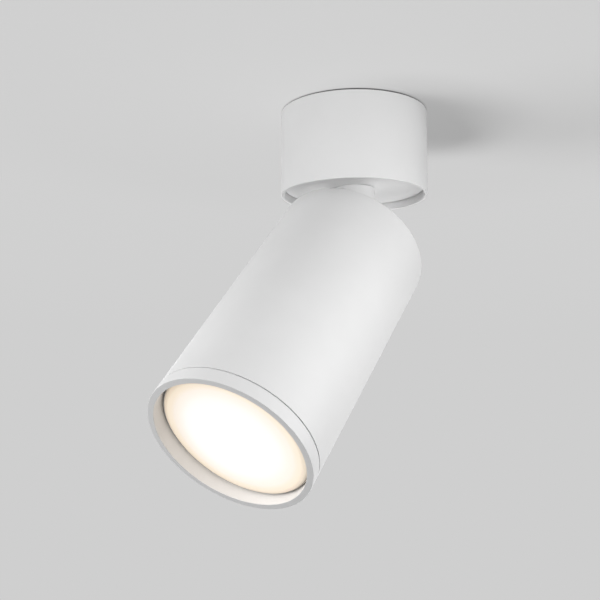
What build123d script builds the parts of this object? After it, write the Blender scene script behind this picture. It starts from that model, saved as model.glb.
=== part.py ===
from build123d import *
import math
import os

os.makedirs("parts", exist_ok=True)

# A ceiling spotlight: a cylindrical canopy on the ceiling, a hollow swivel stem under it, and a cylindrical
# lamp head hinged on the stem. Millimetres. The ceiling is at z = 0 and everything hangs below it. At rest
# the head leans forward, towards -Y, and its hinge runs along X.

# Clearances
running_clearance = 0.06
seat_clearance = 0.05
drop_in_clearance = 0.3

# Canopy: the shell stands clear of the ceiling by a narrow shadow line, its plate sits up inside its rim
canopy_diameter = 55.0
canopy_height = 32.0
shadow_gap = 0.5
canopy_wall = 1.2
plate_recess = 2.7
plate_gap = 0.4
plate_thickness = 4.0
ledge_width = 4.3
ledge_thickness = 2.0
edge_break = 0.2

# Ceiling bracket and its bayonet
bracket_thickness = 2.0
flange_width = 2.8
flange_thickness = 4.0
lug_half_angle = 15.0
notch_half_angle = 19.0
lug_count = 3
lock_tab_width = 8.0
lock_tab_thickness = 2.0
lock_tab_height = 6.0
lock_tab_proud = 0.45
slot_spacing = 30.0
slot_length = 8.0
slot_width = 4.5
cable_hole_diameter = 12.0
cable_bush_wall = 1.4
cable_bush_flange_width = 1.5
cable_bush_flange_thickness = 1.2

# Terminal block and earth point
block_end_wall = 0.3
block_depth = 9.4
block_height = 12.0
block_gap = 0.95
block_corner_radius = 1.0
pole_count = 3
pole_pitch = 5.8
wire_hole_diameter = 3.2
wire_hole_height = 5.0
pole_screw_inset = 1.8
pole_screw_diameter = 2.5
pole_screw_length = 5.0
pole_screw_slot = 0.6
earth_gap = 2.05
earth_screw_diameter = 4.0
earth_washer_diameter = 9.0
earth_washer_thickness = 1.0

# Swivel
stem_diameter = 15.6
stem_neck_diameter = 10.0
stem_bore = 6.0
stem_edge_break = 0.5
lead_exit_diameter = 5.0
stem_floor = 1.3
neck_flat = 4.3
neck_end = 1.0
bush_wall = 1.4
bush_flange_width = 2.5
bush_flange_thickness = 1.0
spring_washer_width = 3.5
spring_washer_thickness = 0.5
spring_washer_rise = 0.5
stop_washer_thickness = 1.0
stop_washer_width = 3.0
stop_tab_length = 3.8
stop_tab_width = 2.0
stop_pin_diameter = 2.0
stop_pin_gap = 0.6
stop_pin_depth = 2.0
neck_nut_across_flats = 14.0
neck_nut_height = 4.0

# Hinge between stem and head
pivot_drop = 18.2
tilt_angle = 45.0
tongue_width = 6.0
tongue_clearance = 0.3
ear_clearance = 0.5
pivot_diameter = 4.0
pivot_head_diameter = 7.6
pivot_head_height = 2.2
pivot_socket = 2.5
pivot_nut_across_flats = 7.0
pivot_nut_height = 3.2
pivot_washer_thickness = 0.8
pivot_washer_diameter = 9.6
ear_thickness = 3.0
ear_radius = 5.5
yoke_base_thickness = 2.0
yoke_base_length = 21.0
yoke_screw_inset = 3.2

# Head
head_length = 100.0
head_wall = 1.2
pivot_gap = 4.8
ring_height = 5.0
spigot_wall = 0.8
seam_gap = 0.3
spigot_length = 10.0
ring_edge_break = 0.25
grommet_gap = 0.7
grommet_hole_diameter = 6.4
grommet_bore = 3.6
grommet_flange_width = 0.9
grommet_flange_thickness = 1.0

# Lamp: its lens face lies inside the ring, and the lamp sits in its holder with a slight lean
lamp_diameter = 50.4
lamp_side_gap = 0.5
lens_depth = 3.2
lamp_lean = 3.0
lens_crown = 0.35
lens_edge_radius = 2.0
lens_band = 1.2
lens_wall = 1.2
lens_skirt = 2.8
lamp_wall = 1.6
lens_skirt_gap = 0.8
lamp_seat_width = 1.35
lamp_rim_length = 3.2
lamp_neck_diameter = 23.6
lamp_neck_start = 34.0
lamp_neck_length = 2.0
heat_plate_thickness = 1.4
led_board_inset = 2.4
led_board_thickness = 1.2
led_size = 3.0
led_height = 0.8
led_count = 6
led_circle_radius = 10.0
lamp_base_length = 12.4
lamp_base_foot_diameter = 19.6
lamp_base_wall = 1.4
lamp_base_floor = 5.4
driver_board_thickness = 1.2
driver_board_front = 12.0
pin_spacing = 10.0
pin_diameter = 3.0
pin_length = 6.6
pin_root = 2.4
pin_head_diameter = 4.8
pin_head_height = 2.2

# Lamp holder and its bracket
holder_diameter = 26.0
holder_length = 15.7
pin_tip_gap = 2.7
holder_slot_angle = 40.0
holder_screw_inset = 2.8
strap_thickness = 1.2
strap_width = 12.0
strap_leg_offset = 11.0
strap_foot_end = 19.5
strap_screw_inset = 3.9

# Fixings: thread diameter, head diameter, head height, and socket or slot width
M2 = (2.0, 3.8, 1.6, 1.5)
M2_5 = (2.5, 4.4, 1.6, 2.0)
M3 = (3.0, 5.2, 1.8, 2.5)
M4 = (4.0, 7.2, 2.4, 3.0)
fixing_count = 3
ledge_screw_length = 4.0
ledge_screw_bearing = 30.0
yoke_screw_length = 5.5
strap_screw_length = 4.0
holder_screw_length = 7.0
lock_screw_inset = 0.3
lock_screw_socket = 1.5
driver_slot_share = 0.5

# Radii and levels that follow from the sizes above
canopy_radius = canopy_diameter / 2
canopy_bore = canopy_radius - canopy_wall
canopy_top = -shadow_gap
canopy_bottom = canopy_top - canopy_height
plate_bottom = canopy_bottom + plate_recess
plate_top = plate_bottom + plate_thickness
plate_radius = canopy_bore - plate_gap
ledge_radius = canopy_bore - ledge_width
ledge_top = plate_top + ledge_thickness
flange_radius = canopy_bore - flange_width
flange_top = -bracket_thickness - seat_clearance
flange_bottom = flange_top - flange_thickness
bracket_radius = flange_radius - drop_in_clearance
lug_radius = canopy_bore - drop_in_clearance
lock_height = flange_top - flange_thickness / 2
cable_bush_radius = cable_hole_diameter / 2 - seat_clearance
cable_bush_reach = cable_bush_radius + cable_bush_flange_width
block_offset = cable_bush_reach + block_gap + block_depth / 2
block_length = pole_count * pole_pitch + 2 * block_end_wall
pole_screw_spacing = block_depth - 2 * pole_screw_inset
earth_offset = cable_bush_reach + earth_gap + earth_washer_diameter / 2
neck_radius = stem_neck_diameter / 2
neck_bore = neck_radius + running_clearance
bush_top = plate_top + bush_flange_thickness
bush_sleeve_radius = neck_bore + bush_wall
bush_flange_radius = bush_sleeve_radius + bush_flange_width
spring_top = bush_top + spring_washer_rise + spring_washer_thickness
stop_bottom = spring_top + seat_clearance
stop_top = stop_bottom + stop_washer_thickness
neck_top = stop_top + neck_nut_height + neck_end
stop_pin_radius = stop_pin_diameter / 2
stop_pin_offset = bush_flange_radius + stop_pin_gap + stop_pin_radius
stem_top = plate_bottom - 2 * seat_clearance
pivot_height = canopy_bottom - pivot_drop
stem_end_rise = ear_radius + ear_clearance
stem_bottom = pivot_height + stem_end_rise
ear_start = tongue_width / 2 + pivot_washer_thickness + 2 * seat_clearance
ear_end = ear_start + ear_thickness
pivot_length = 2 * ear_end + pivot_nut_height

# Distances along the head's axis, from the hinge towards the mouth
lamp_radius = lamp_diameter / 2
ring_bore = lamp_radius + lamp_side_gap
spigot_radius = ring_bore + spigot_wall
head_bore = spigot_radius + 2 * seat_clearance
head_radius = head_bore + head_wall
cap_face = pivot_gap + plate_recess
cap_back = cap_face + plate_thickness
cap_radius = head_bore - plate_gap
head_ledge_radius = head_bore - ledge_width
head_ledge_end = cap_back + ledge_thickness
mouth = pivot_gap + head_length
seam = mouth - ring_height
lens_face = mouth - lens_depth
yoke_seat = cap_face - yoke_base_thickness
tongue_radius = yoke_seat - tongue_clearance
yoke_screw_spacing = yoke_base_length - 2 * yoke_screw_inset
grommet_radius = grommet_hole_diameter / 2 - seat_clearance
grommet_offset = yoke_base_length / 2 + grommet_gap + grommet_radius + grommet_flange_width

# Distances along the lamp's axis, from its lens face (0) backwards, so they are negative
lens_rim_end = -lens_edge_radius - lens_band
lens_skirt_end = lens_rim_end - lens_skirt
lamp_front = lens_rim_end - seat_clearance
lamp_mouth_radius = lamp_radius - lamp_wall
lens_inner_radius = lamp_mouth_radius - lens_wall
lamp_seat_depth = -lens_skirt_end + lens_skirt_gap + heat_plate_thickness
heat_plate_top = -lamp_seat_depth + heat_plate_thickness
led_board_top = heat_plate_top + led_board_thickness
lamp_neck_radius = lamp_neck_diameter / 2
lamp_neck_bore = lamp_neck_radius - lamp_wall
lamp_neck_end = lamp_neck_start + lamp_neck_length
lamp_base_end = -lamp_neck_end - lamp_base_length
base_floor_top = lamp_base_end + lamp_base_floor
pin_end = lamp_base_end - pin_length
holder_front = lamp_base_end - drop_in_clearance
holder_back = holder_front - holder_length
holder_slot_depth = pin_length - drop_in_clearance + pin_tip_gap
holder_slot_width = pin_head_diameter + 2 * drop_in_clearance
strap_front = holder_back - seat_clearance
strap_back = strap_front - strap_thickness
leg_inside = strap_leg_offset - strap_thickness
holder_screw_offset = leg_inside - holder_screw_inset
strap_screw_offset = strap_foot_end - strap_screw_inset

UP = (Align.CENTER, Align.CENTER, Align.MIN)
DOWN = (Align.CENTER, Align.CENTER, Align.MAX)

# The head's section plane: its x is the hinge's direction and its y runs from the hinge to the mouth
hinge_point = (0, 0, pivot_height)
head_section = Plane(
    origin=hinge_point,
    x_dir=(1, 0, 0),
    z_dir=(0, math.cos(math.radians(tilt_angle)), -math.sin(math.radians(tilt_angle))),
)
head_axis = Axis(head_section.origin, head_section.y_dir)

# The lamp's section plane: origin on the lens face, y forward, turned by the lean
lamp_section = Plane(
    origin=head_section.from_local_coords((0, lens_face, 0)),
    x_dir=head_section.x_dir,
    z_dir=head_section.z_dir,
).rotated((0, 0, lamp_lean))
lamp_axis = Axis(lamp_section.origin, lamp_section.y_dir)


def across(section, distance, backwards=False):
    """The plane square to a section's y axis at this distance, facing along it or backwards."""
    facing = -section.y_dir if backwards else section.y_dir
    return Plane(origin=section.from_local_coords((0, distance, 0)), x_dir=section.x_dir, z_dir=facing)


def spots(plane, *places):
    """Locations at places given in a plane's own x and y."""
    return Locations(*[plane.location * Location((x, y, 0)) for x, y in places])


def ring_of_places(radius, count, bearing):
    """Evenly spaced places on a circle, the first at the bearing in degrees."""
    angles = [math.radians(bearing + 360.0 * k / count) for k in range(count)]
    return [(radius * math.cos(a), radius * math.sin(a)) for a in angles]


def add_tube(plane, outer, inner, length):
    """Adds a plain ring or sleeve that stands on a plane."""
    with BuildSketch(plane) as ring:
        Circle(outer)
        Circle(inner, mode=Mode.SUBTRACT)
    extrude(ring.sketch, amount=length)


def add_wedges(count, bearing, half_angle, reach):
    """Adds pie slices round the origin of the sketch in hand."""
    half_width = reach * math.tan(math.radians(half_angle))
    with PolarLocations(0, count, start_angle=bearing):
        Polygon((0, 0), (reach, -half_width), (reach, half_width), align=None)


def add_revolved(section, points, axis):
    """Adds the solid that a closed outline of straight lines sweeps round an axis."""
    with BuildSketch(section) as profile:
        with BuildLine():
            Polyline(*points, close=True)
        make_face()
    revolve(profile.sketch, axis=axis)


def add_screws(seat, places, size, length):
    """Adds socket screws whose heads bear on the seat plane and whose shanks follow its normal."""
    thread, head, head_height, socket = size
    with spots(seat, *places):
        Cylinder(thread / 2, length, align=UP)
        Cylinder(head / 2, head_height, align=DOWN)
    with BuildSketch(seat.offset(-head_height)) as sockets:
        with Locations(*places):
            RegularPolygon(socket / 2, 6, major_radius=False)
    extrude(sockets.sketch, amount=head_height * driver_slot_share, mode=Mode.SUBTRACT)


def cut_holes(plane, places, diameter, depth):
    """Drills holes from a plane along its normal, wider than their screws by the seat clearance."""
    with spots(plane, *places):
        Cylinder(diameter / 2 + seat_clearance, depth, align=UP, mode=Mode.SUBTRACT)


def break_outer_edges(part, size):
    """Chamfers the two widest round edges of a turned part."""
    rims = part.edges().filter_by(GeomType.CIRCLE).sort_by(lambda rim: rim.radius)[-2:]
    chamfer(rims, length=size)


# ---- ceiling bracket: disc with three bayonet lugs, two slots, a cable hole and a lock tab at the rear
lug_bearing = 90.0
notch_bearing = lug_bearing + 180.0 / lug_count
slot_places = [(-slot_spacing / 2, 0), (slot_spacing / 2, 0)]
block_screw_place = [(0, block_offset)]
earth_place = [(0, -earth_offset)]
lock_tab_face = bracket_radius - lock_tab_proud

with BuildPart() as ceiling_bracket:
    with BuildSketch():
        add_wedges(lug_count, lug_bearing, lug_half_angle, canopy_radius)
        Circle(lug_radius, mode=Mode.INTERSECT)
        Circle(bracket_radius)
        Circle(cable_hole_diameter / 2, mode=Mode.SUBTRACT)
        with Locations(*slot_places):
            SlotOverall(slot_length, slot_width, mode=Mode.SUBTRACT)
    extrude(amount=-bracket_thickness)
    with spots(Plane.XY.offset(-bracket_thickness), (0, lock_tab_face - lock_tab_thickness / 2)):
        Box(lock_tab_width, lock_tab_thickness, lock_tab_height, align=DOWN)
    cut_holes(Plane.XY.offset(-bracket_thickness), block_screw_place, M2_5[0], bracket_thickness)
    cut_holes(Plane.XY.offset(-bracket_thickness), earth_place, earth_screw_diameter, bracket_thickness)
ceiling_bracket.part.label = "ceiling_bracket"
export_step(ceiling_bracket.part, "parts/ceiling_bracket.step")

# ---- rubber bush in the cable hole
cable_bush_bore = cable_bush_radius - cable_bush_wall

with BuildPart() as cable_bush:
    add_tube(Plane.XY.offset(-bracket_thickness), cable_bush_radius, cable_bush_bore, bracket_thickness)
    add_tube(
        Plane.XY.offset(-bracket_thickness - cable_bush_flange_thickness),
        cable_bush_reach,
        cable_bush_bore,
        cable_bush_flange_thickness,
    )
cable_bush.part.label = "cable_bush"
export_step(cable_bush.part, "parts/cable_bush.step")

# ---- terminal block with a wire way and two clamping screws for each pole
block_bottom = -bracket_thickness - block_height
pole_places = [(pole_pitch * (k - (pole_count - 1) / 2), 0) for k in range(pole_count)]
pole_screw_places = [
    (x, block_offset + side * pole_screw_spacing / 2) for x, _ in pole_places for side in (-1, 1)
]
block_face = Plane(
    origin=(0, block_offset + block_depth / 2, block_bottom + wire_hole_height),
    z_dir=(0, -1, 0),
)
block_underside = Plane.XY.offset(block_bottom)

with BuildPart() as terminal_block:
    with spots(block_underside, (0, block_offset)):
        Box(block_length, block_depth, block_height, align=UP)
    fillet(terminal_block.edges().filter_by(Axis.Z), radius=block_corner_radius)
    with spots(block_face, *pole_places):
        Cylinder(wire_hole_diameter / 2, block_depth, align=UP, mode=Mode.SUBTRACT)
    cut_holes(block_underside, pole_screw_places, pole_screw_diameter, wire_hole_height)
    cut_holes(block_underside, block_screw_place, M2_5[0], block_height)
    cut_holes(block_underside, block_screw_place, M2_5[1], block_height - pole_screw_length)
terminal_block.part.label = "terminal_block"
export_step(terminal_block.part, "parts/terminal_block.step")

with BuildPart() as terminal_screws:
    with spots(block_underside, *pole_screw_places):
        Cylinder(pole_screw_diameter / 2, wire_hole_height - wire_hole_diameter / 2, align=UP)
    with BuildSketch(block_underside):
        with Locations(*pole_screw_places):
            Rectangle(pole_screw_diameter, pole_screw_slot)
    extrude(amount=pole_screw_slot, mode=Mode.SUBTRACT)
terminal_screws.part.label = "terminal_screws"
export_step(terminal_screws.part, "parts/terminal_screws.step")

with BuildPart() as terminal_fixing_screw:
    block_screw_seat = Plane.XY.offset(-bracket_thickness - pole_screw_length)
    add_screws(block_screw_seat, block_screw_place, M2_5, pole_screw_length + bracket_thickness)
terminal_fixing_screw.part.label = "terminal_fixing_screw"
export_step(terminal_fixing_screw.part, "parts/terminal_fixing_screw.step")

# ---- earth washer and screw
with BuildPart() as earth_washer:
    with BuildSketch(Plane.XY.offset(-bracket_thickness)):
        with Locations(*earth_place):
            Circle(earth_washer_diameter / 2)
            Circle(earth_screw_diameter / 2 + seat_clearance, mode=Mode.SUBTRACT)
    extrude(amount=-earth_washer_thickness)
earth_washer.part.label = "earth_washer"
export_step(earth_washer.part, "parts/earth_washer.step")

with BuildPart() as earth_screw:
    earth_seat = Plane.XY.offset(-bracket_thickness - earth_washer_thickness)
    add_screws(earth_seat, earth_place, M4, bracket_thickness + earth_washer_thickness)
earth_screw.part.label = "earth_screw"
export_step(earth_screw.part, "parts/earth_screw.step")

# ---- canopy shell: tube with a notched bayonet flange at the top and a ledge that carries the plate
lock_plane = Plane(origin=(0, canopy_radius, lock_height), z_dir=(0, -1, 0))
ledge_screw_places = ring_of_places((ledge_radius + canopy_bore) / 2, fixing_count, ledge_screw_bearing)

with BuildPart() as canopy_shell:
    add_revolved(
        Plane.XZ,
        [
            (canopy_bore, canopy_bottom),
            (canopy_radius, canopy_bottom),
            (canopy_radius, canopy_top),
            (canopy_bore, canopy_top),
            (canopy_bore, flange_top),
            (flange_radius, flange_top),
            (flange_radius, flange_bottom),
            (canopy_bore, flange_bottom),
            (canopy_bore, ledge_top),
            (ledge_radius, ledge_top),
            (ledge_radius, plate_top),
            (canopy_bore, plate_top),
        ],
        Axis.Z,
    )
    break_outer_edges(canopy_shell, edge_break)
    with BuildSketch(Plane.XY.offset(flange_top)):
        add_wedges(lug_count, notch_bearing, notch_half_angle, canopy_radius)
        Circle(canopy_bore, mode=Mode.INTERSECT)
        Circle(flange_radius - drop_in_clearance, mode=Mode.SUBTRACT)
    extrude(amount=-flange_thickness, mode=Mode.SUBTRACT)
    cut_holes(lock_plane, [(0, 0)], M3[0], canopy_wall + flange_width + drop_in_clearance)
    cut_holes(Plane.XY.offset(plate_top), ledge_screw_places, M2[0], ledge_thickness)
canopy_shell.part.label = "canopy_shell"
export_step(canopy_shell.part, "parts/canopy_shell.step")

with BuildPart() as canopy_lock_screw:
    lock_screw_length = canopy_radius - lock_screw_inset - lock_tab_face - seat_clearance
    with spots(lock_plane.offset(lock_screw_inset), (0, 0)):
        Cylinder(M3[0] / 2, lock_screw_length, align=UP)
    with BuildSketch(lock_plane.offset(lock_screw_inset)):
        RegularPolygon(lock_screw_socket / 2, 6, major_radius=False)
    extrude(amount=lock_screw_length * driver_slot_share, mode=Mode.SUBTRACT)
canopy_lock_screw.part.label = "canopy_lock_screw"
export_step(canopy_lock_screw.part, "parts/canopy_lock_screw.step")

# ---- canopy plate, drawn up against the ledge from inside
blind_depth = ledge_screw_length - ledge_thickness
stop_pin_place = [(0, stop_pin_offset)]

with BuildPart() as canopy_plate:
    plate_bore = bush_sleeve_radius + seat_clearance
    add_tube(Plane.XY.offset(plate_bottom), plate_radius, plate_bore, plate_thickness)
    cut_holes(Plane.XY.offset(plate_top - blind_depth), ledge_screw_places, M2[0], blind_depth)
    cut_holes(Plane.XY.offset(plate_top - stop_pin_depth), stop_pin_place, stop_pin_diameter, stop_pin_depth)
canopy_plate.part.label = "canopy_plate"
export_step(canopy_plate.part, "parts/canopy_plate.step")

with BuildPart() as canopy_plate_screws:
    down_from_ledge = Plane(origin=(0, 0, ledge_top), x_dir=(1, 0, 0), z_dir=(0, 0, -1))
    add_screws(down_from_ledge, [(x, -y) for x, y in ledge_screw_places], M2, ledge_screw_length)
canopy_plate_screws.part.label = "canopy_plate_screws"
export_step(canopy_plate_screws.part, "parts/canopy_plate_screws.step")

# ---- swivel bearing in the plate: flanged bush, disc spring and stop pin
with BuildPart() as swivel_bush:
    add_tube(Plane.XY.offset(plate_bottom), bush_sleeve_radius, neck_bore, plate_thickness)
    add_tube(Plane.XY.offset(plate_top), bush_flange_radius, neck_bore, bush_flange_thickness)
swivel_bush.part.label = "swivel_bush"
export_step(swivel_bush.part, "parts/swivel_bush.step")

with BuildPart() as swivel_spring_washer:
    spring_inner = neck_bore + drop_in_clearance
    spring_outer = spring_inner + spring_washer_width
    add_revolved(
        Plane.XZ,
        [
            (spring_outer, bush_top),
            (spring_outer, bush_top + spring_washer_thickness),
            (spring_inner, spring_top),
            (spring_inner, spring_top - spring_washer_thickness),
        ],
        Axis.Z,
    )
swivel_spring_washer.part.label = "swivel_spring_washer"
export_step(swivel_spring_washer.part, "parts/swivel_spring_washer.step")

with BuildPart() as swivel_stop_pin:
    with spots(Plane.XY.offset(plate_top - stop_pin_depth), *stop_pin_place):
        Cylinder(stop_pin_radius, stop_top - plate_top + stop_pin_depth, align=UP)
swivel_stop_pin.part.label = "swivel_stop_pin"
export_step(swivel_stop_pin.part, "parts/swivel_stop_pin.step")

# ---- swivel stem: threaded neck with a key flat, shoulder, lead way and hinge tongue
hinge_plane = Plane(origin=hinge_point, x_dir=(0, 1, 0), z_dir=(1, 0, 0))
exit_height = stem_bottom + stem_floor + stem_bore / 2

with BuildPart() as swivel_stem:
    with spots(Plane.XY.offset(stem_bottom), (0, 0)):
        Cylinder(stem_diameter / 2, stem_top - stem_bottom, align=UP)
    chamfer(swivel_stem.edges().filter_by(GeomType.CIRCLE).sort_by(Axis.Z)[0], length=stem_edge_break)
    with spots(Plane.XY.offset(stem_top), (0, 0)):
        Cylinder(neck_radius, neck_top - stem_top, align=UP)
    with spots(Plane.XY.offset(stop_bottom), (0, -neck_flat)):
        Box(stem_neck_diameter, neck_radius, neck_top - stop_bottom, mode=Mode.SUBTRACT,
            align=(Align.CENTER, Align.MAX, Align.MIN))
    with spots(Plane.XY.offset(exit_height), (0, 0)):
        Cylinder(stem_bore / 2, neck_top - exit_height, align=UP, mode=Mode.SUBTRACT)
        Sphere(stem_bore / 2, mode=Mode.SUBTRACT)
    with spots(Plane(origin=(0, 0, exit_height), z_dir=(0, 1, 0)), (0, 0)):
        Cylinder(lead_exit_diameter / 2, stem_diameter / 2, align=UP, mode=Mode.SUBTRACT)
    with BuildSketch(hinge_plane):
        Circle(tongue_radius)
        Rectangle(2 * tongue_radius, stem_end_rise, align=(Align.CENTER, Align.MIN))
        Circle(pivot_diameter / 2 + running_clearance, mode=Mode.SUBTRACT)
    extrude(amount=tongue_width / 2, both=True)
swivel_stem.part.label = "swivel_stem"
export_step(swivel_stem.part, "parts/swivel_stem.step")

# ---- stop washer keyed to the neck's flat, its tab opposite the stop pin, and the neck nut
stop_tab_size = (stop_tab_width, stop_washer_width / 2 + stop_tab_length)

with BuildPart() as swivel_stop_washer:
    with BuildSketch(Plane.XY.offset(stop_bottom)):
        Circle(neck_bore + stop_washer_width)
        with Locations((0, -neck_bore - stop_washer_width / 2)):
            Rectangle(*stop_tab_size, align=(Align.CENTER, Align.MAX))
    extrude(amount=stop_washer_thickness)
    with BuildSketch(Plane.XY.offset(stop_bottom)):
        Circle(neck_bore)
        with Locations((0, -neck_flat - seat_clearance)):
            Rectangle(stem_neck_diameter, neck_radius, align=(Align.CENTER, Align.MAX), mode=Mode.SUBTRACT)
    extrude(amount=stop_washer_thickness, mode=Mode.SUBTRACT)
swivel_stop_washer.part.label = "swivel_stop_washer"
export_step(swivel_stop_washer.part, "parts/swivel_stop_washer.step")

with BuildPart() as swivel_nut:
    with BuildSketch(Plane.XY.offset(stop_top)):
        RegularPolygon(neck_nut_across_flats / 2, 6, major_radius=False)
        Circle(neck_bore, mode=Mode.SUBTRACT)
    extrude(amount=neck_nut_height)
swivel_nut.part.label = "swivel_nut"
export_step(swivel_nut.part, "parts/swivel_nut.step")

# ---- tilt yoke: base screwed to the rear cap, two ears beside the tongue
yoke_screw_places = [(0, -yoke_screw_spacing / 2), (0, yoke_screw_spacing / 2)]
countersink_depth = (M3[1] - M3[0]) / 2

with BuildPart() as tilt_yoke:
    with BuildSketch(across(head_section, yoke_seat)):
        RectangleRounded(2 * ear_end, yoke_base_length, ear_thickness)
    extrude(amount=yoke_base_thickness)
    for side in (-1, 1):
        ear_plane = Plane(
            origin=head_section.from_local_coords((side * (ear_start + ear_thickness / 2), 0, 0)),
            x_dir=-head_section.z_dir,
            z_dir=head_section.x_dir,
        )
        with BuildSketch(ear_plane):
            Circle(ear_radius)
            Rectangle(2 * ear_radius, yoke_seat, align=(Align.CENTER, Align.MIN))
            Circle(pivot_diameter / 2 + seat_clearance, mode=Mode.SUBTRACT)
        extrude(amount=ear_thickness / 2, both=True)
    cut_holes(across(head_section, yoke_seat), yoke_screw_places, M3[0], yoke_base_thickness)
    with spots(across(head_section, yoke_seat), *yoke_screw_places):
        Cone(M3[1] / 2 + seat_clearance, M3[0] / 2 + seat_clearance, countersink_depth, align=UP,
             mode=Mode.SUBTRACT)
tilt_yoke.part.label = "tilt_yoke"
export_step(tilt_yoke.part, "parts/tilt_yoke.step")

with BuildPart() as tilt_yoke_screws:
    with spots(across(head_section, yoke_seat), *yoke_screw_places):
        Cone(M3[1] / 2, M3[0] / 2, countersink_depth, align=UP)
        Cylinder(M3[0] / 2, yoke_screw_length, align=UP)
    with BuildSketch(across(head_section, yoke_seat)):
        with Locations(*yoke_screw_places):
            RegularPolygon(M3[3] / 2, 6, major_radius=False)
    extrude(amount=countersink_depth * driver_slot_share, mode=Mode.SUBTRACT)
tilt_yoke_screws.part.label = "tilt_yoke_screws"
export_step(tilt_yoke_screws.part, "parts/tilt_yoke_screws.step")

# ---- hinge screw, nut and the two friction washers
with BuildPart() as pivot_screw:
    pivot_size = (pivot_diameter, pivot_head_diameter, pivot_head_height, pivot_socket)
    add_screws(hinge_plane.offset(-ear_end), [(0, 0)], pivot_size, pivot_length)
pivot_screw.part.label = "pivot_screw"
export_step(pivot_screw.part, "parts/pivot_screw.step")

with BuildPart() as pivot_nut:
    with BuildSketch(hinge_plane.offset(ear_end)):
        RegularPolygon(pivot_nut_across_flats / 2, 6, major_radius=False)
        Circle(pivot_diameter / 2 + seat_clearance, mode=Mode.SUBTRACT)
    extrude(amount=pivot_nut_height)
pivot_nut.part.label = "pivot_nut"
export_step(pivot_nut.part, "parts/pivot_nut.step")

with BuildPart() as pivot_washers:
    washer_start = tongue_width / 2 + seat_clearance
    for start in (washer_start, -washer_start - pivot_washer_thickness):
        add_tube(
            hinge_plane.offset(start),
            pivot_washer_diameter / 2,
            pivot_diameter / 2 + seat_clearance,
            pivot_washer_thickness,
        )
pivot_washers.part.label = "pivot_washers"
export_step(pivot_washers.part, "parts/pivot_washers.step")

# ---- head tube with a ledge inside that carries the rear cap
cap_screw_places = ring_of_places((head_ledge_radius + head_bore) / 2, fixing_count, ledge_screw_bearing)
yoke_screw_depth = yoke_screw_length - yoke_base_thickness

with BuildPart() as head_tube:
    add_revolved(
        head_section,
        [
            (head_bore, pivot_gap),
            (head_radius, pivot_gap),
            (head_radius, seam),
            (head_bore, seam),
            (head_bore, head_ledge_end),
            (head_ledge_radius, head_ledge_end),
            (head_ledge_radius, cap_back),
            (head_bore, cap_back),
        ],
        head_axis,
    )
    break_outer_edges(head_tube, edge_break)
    cut_holes(across(head_section, cap_back), cap_screw_places, M2[0], ledge_thickness)
head_tube.part.label = "head_tube"
export_step(head_tube.part, "parts/head_tube.step")

with BuildPart() as rear_cap:
    with BuildSketch(across(head_section, cap_face)):
        Circle(cap_radius)
        with Locations((0, -grommet_offset)):
            Circle(grommet_hole_diameter / 2, mode=Mode.SUBTRACT)
    extrude(amount=plate_thickness)
    cut_holes(across(head_section, cap_face), yoke_screw_places, M3[0], yoke_screw_depth)
    cut_holes(across(head_section, cap_back - blind_depth), cap_screw_places, M2[0], blind_depth)
    foot_screw_places = [(-strap_screw_offset, 0), (strap_screw_offset, 0)]
    foot_screw_depth = strap_screw_length - strap_thickness
    cut_holes(across(head_section, cap_back - foot_screw_depth), foot_screw_places, M3[0], foot_screw_depth)
rear_cap.part.label = "rear_cap"
export_step(rear_cap.part, "parts/rear_cap.step")

with BuildPart() as rear_cap_screws:
    flipped_places = [(x, -y) for x, y in cap_screw_places]
    add_screws(across(head_section, head_ledge_end, backwards=True), flipped_places, M2, ledge_screw_length)
rear_cap_screws.part.label = "rear_cap_screws"
export_step(rear_cap_screws.part, "parts/rear_cap_screws.step")

# ---- rubber grommet where the leads enter the head
grommet_length = plate_thickness + 2 * grommet_flange_thickness

with BuildPart() as lead_grommet:
    with BuildSketch(across(head_section, cap_face - grommet_flange_thickness)):
        with Locations((0, -grommet_offset)):
            Circle(grommet_radius)
    extrude(amount=grommet_length)
    for start in (cap_face - grommet_flange_thickness, cap_back):
        with BuildSketch(across(head_section, start)):
            with Locations((0, -grommet_offset)):
                Circle(grommet_radius + grommet_flange_width)
        extrude(amount=grommet_flange_thickness)
    with spots(across(head_section, cap_face - grommet_flange_thickness), (0, -grommet_offset)):
        Cylinder(grommet_bore / 2, grommet_length, align=UP, mode=Mode.SUBTRACT)
lead_grommet.part.label = "lead_grommet"
export_step(lead_grommet.part, "parts/lead_grommet.step")

# ---- front ring: trim in front of the seam, spigot inside the tube
ring_back = seam + seam_gap

with BuildPart() as front_ring:
    add_revolved(
        head_section,
        [
            (ring_bore, seam - spigot_length),
            (spigot_radius, seam - spigot_length),
            (spigot_radius, ring_back),
            (head_radius, ring_back),
            (head_radius, mouth),
            (ring_bore, mouth),
        ],
        head_axis,
    )
    break_outer_edges(front_ring, ring_edge_break)
front_ring.part.label = "front_ring"
export_step(front_ring.part, "parts/front_ring.step")

# ---- lamp: lens, body shell, heat plate, light-emitting board, driver board, base and pins
with BuildPart() as lamp_diffuser:
    with BuildSketch(lamp_section):
        with BuildLine():
            flat_radius = lamp_radius - lens_edge_radius
            crown_line = Line((0, lens_crown), (flat_radius, 0))
            edge_arc = RadiusArc(crown_line @ 1, (lamp_radius, -lens_edge_radius), lens_edge_radius)
            Polyline(
                edge_arc @ 1,
                (lamp_radius, lens_rim_end),
                (lamp_mouth_radius - seat_clearance, lens_rim_end),
                (lamp_mouth_radius - seat_clearance, lens_skirt_end),
                (lens_inner_radius, lens_skirt_end),
                (lens_inner_radius, -lens_wall),
                (0, lens_crown - lens_wall),
                crown_line @ 0,
            )
        make_face()
    revolve(axis=lamp_axis)
lamp_diffuser.part.label = "lamp_diffuser"
export_step(lamp_diffuser.part, "parts/lamp_diffuser.step")

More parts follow.
